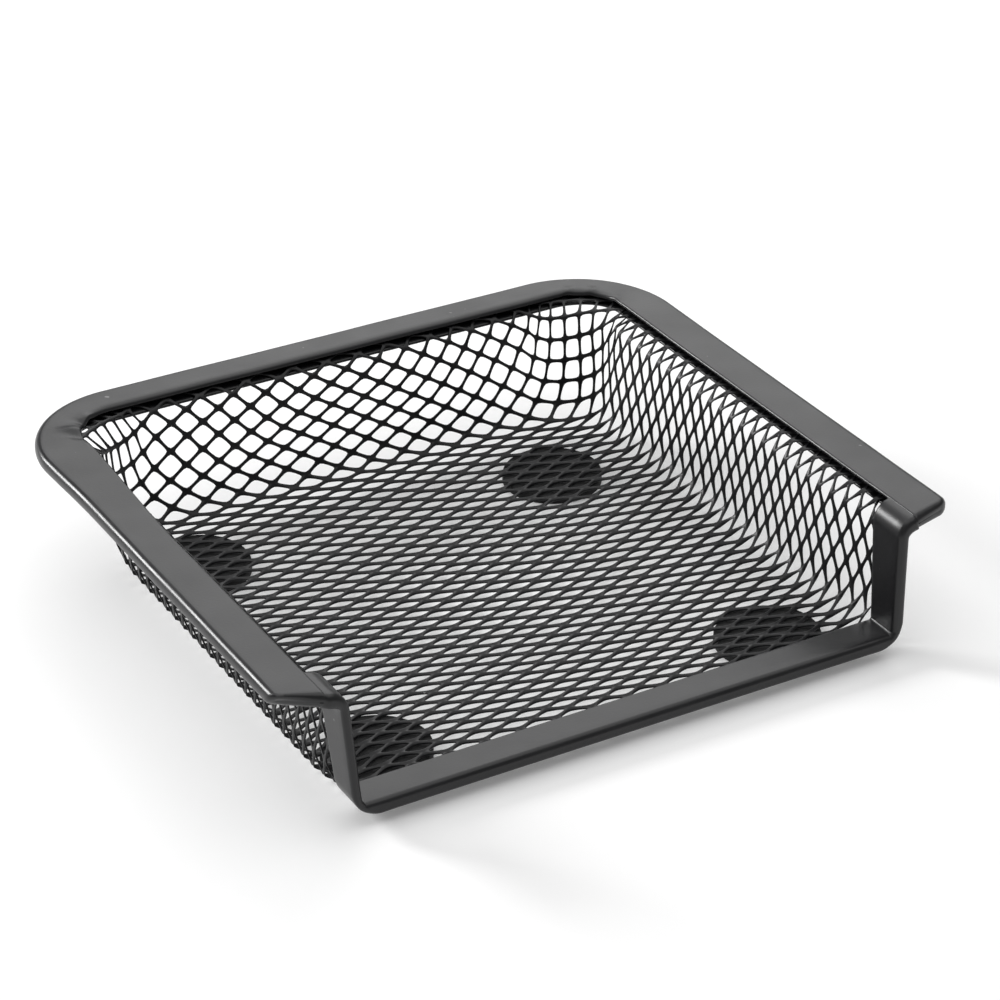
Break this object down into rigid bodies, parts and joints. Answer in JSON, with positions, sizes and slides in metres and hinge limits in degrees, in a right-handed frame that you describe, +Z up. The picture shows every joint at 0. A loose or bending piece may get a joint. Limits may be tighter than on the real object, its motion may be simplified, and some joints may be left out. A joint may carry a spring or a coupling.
{
  "type": "mesh note tray",
  "caption": "Shallow desk tray drawn from expanded metal mesh, with a folded steel rim on the sides and back, an open front edged with a folded channel, and stick-on foot pads.",
  "frame": {"origin": "centre of the bounding box's underside, on the surface that the foot pads stand on", "axes": "+Z up, -Y towards the open front, +X to the right as seen from the front"},
  "size_m": [0.11, 0.0967, 0.0218],
  "materials": {
    "black_mesh_coat": "satin black powder coat on steel mesh",
    "black_powder_coat": "satin black powder coat on folded steel strip",
    "black_pad": "matt black rubber"
  },
  "bodies": {
    "root": {"basket": "black_mesh_coat", "rim": "black_powder_coat", "front_channel": "black_powder_coat", "foot_front_left": "black_pad", "foot_front_right": "black_pad", "foot_back_left": "black_pad", "foot_back_right": "black_pad"}
  },
  "joints": []
}
